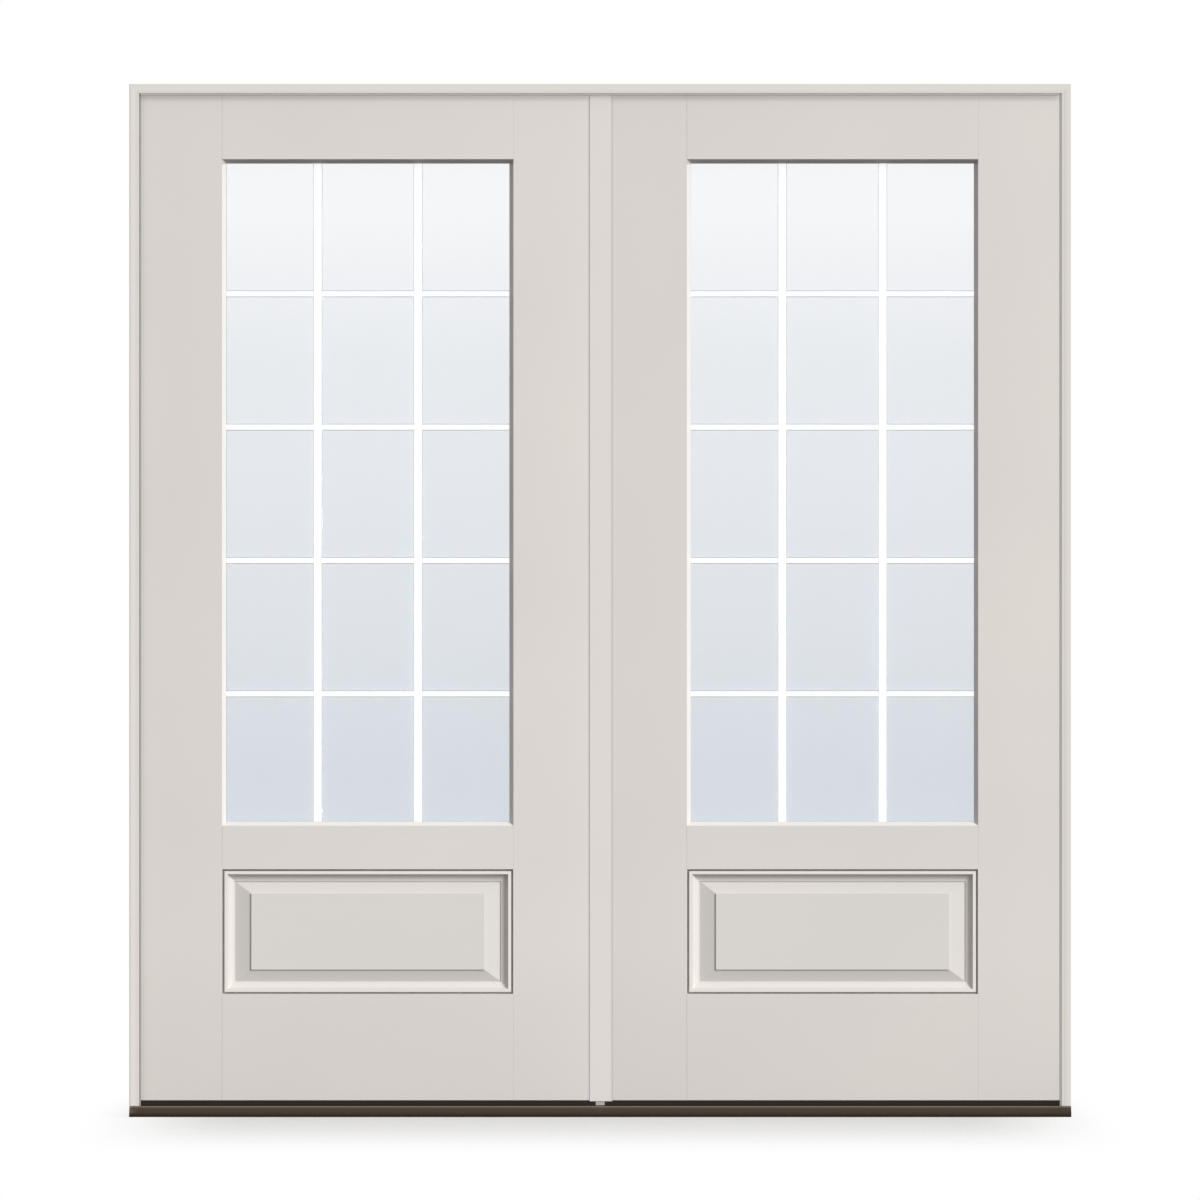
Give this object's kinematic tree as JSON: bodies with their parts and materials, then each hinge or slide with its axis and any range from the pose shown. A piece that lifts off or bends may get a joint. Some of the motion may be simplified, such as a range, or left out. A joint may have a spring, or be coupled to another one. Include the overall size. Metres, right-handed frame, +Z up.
{
  "type": "french doors",
  "caption": "Pair of glazed inswing doors in a rabbeted frame with a metal sill, divided glass above raised panels, butt hinges and a bolted astragal.",
  "frame": {"origin": "middle of the doorway on the underside of the sill, midway through the frame's depth", "axes": "+Z up, +X to the right as seen from outside, +Y inwards, the way both leaves swing"},
  "size_m": [1.88, 0.108, 2.062],
  "materials": {
    "leaf_paint": "satin off-white paint",
    "frame_paint": "satin off-white paint",
    "astragal_coat": "off-white powder coat",
    "clear_glass": "clear",
    "spacer_metal": "matt",
    "grille_vinyl": "white vinyl",
    "bronze_sill": "bronze anodised",
    "dark_rubber": "matt vinyl",
    "grey_seal": "matt foam and vinyl",
    "hinge_steel": "satin"
  },
  "bodies": {
    "frame": {"left_jamb": "frame_paint", "right_jamb": "frame_paint", "head_jamb": "frame_paint", "sill": "bronze_sill", "left_weatherstrip": "grey_seal", "right_weatherstrip": "grey_seal", "head_weatherstrip": "grey_seal", "top_strike": "hinge_steel", "bottom_strike": "hinge_steel", "left_jamb_hinges": "hinge_steel", "right_jamb_hinges": "hinge_steel"},
    "left_leaf": {"left_hinge_stile": "leaf_paint", "left_meeting_stile": "leaf_paint", "left_top_rail": "leaf_paint", "left_mid_rail": "leaf_paint", "left_bottom_rail": "leaf_paint", "left_raised_panel": "leaf_paint", "left_outer_panel_moulding": "leaf_paint", "left_inner_panel_moulding": "leaf_paint", "left_outer_glazing_bead": "leaf_paint", "left_inner_glazing_bead": "leaf_paint", "left_outer_pane": "clear_glass", "left_inner_pane": "clear_glass", "left_glass_spacer": "spacer_metal", "left_glass_grille": "grille_vinyl", "left_setting_blocks": "dark_rubber", "left_bottom_sweep": "dark_rubber", "left_leaf_hinges": "hinge_steel"},
    "right_leaf": {"right_hinge_stile": "leaf_paint", "right_meeting_stile": "leaf_paint", "right_top_rail": "leaf_paint", "right_mid_rail": "leaf_paint", "right_bottom_rail": "leaf_paint", "right_raised_panel": "leaf_paint", "right_outer_panel_moulding": "leaf_paint", "right_inner_panel_moulding": "leaf_paint", "right_outer_glazing_bead": "leaf_paint", "right_inner_glazing_bead": "leaf_paint", "right_outer_pane": "clear_glass", "right_inner_pane": "clear_glass", "right_glass_spacer": "spacer_metal", "right_glass_grille": "grille_vinyl", "right_setting_blocks": "dark_rubber", "right_bottom_sweep": "dark_rubber", "right_leaf_hinges": "hinge_steel", "astragal": "astragal_coat", "astragal_seal": "grey_seal", "astragal_boot": "grey_seal", "astragal_sweep": "dark_rubber"},
    "top_bolt": {"top_bolt": "hinge_steel"},
    "bottom_bolt": {"bottom_bolt": "hinge_steel"}
  },
  "joints": [
    {"name": "left_leaf_swing", "type": "hinge", "parent": "frame", "child": "left_leaf", "pos_m": [-0.926, 0.0375, 1], "axis": [0, 0, 1], "range_deg": [0, 110]},
    {"name": "right_leaf_swing", "type": "hinge", "parent": "frame", "child": "right_leaf", "pos_m": [0.926, 0.0375, 1], "axis": [0, 0, -1], "range_deg": [0, 110]},
    {"name": "top_bolt_slide", "type": "slide", "parent": "right_leaf", "child": "top_bolt", "axis": [0, 0, 1], "range_m": [0, 0.013]},
    {"name": "bottom_bolt_slide", "type": "slide", "parent": "right_leaf", "child": "bottom_bolt", "axis": [0, 0, -1], "range_m": [0, 0.013]}
  ]
}
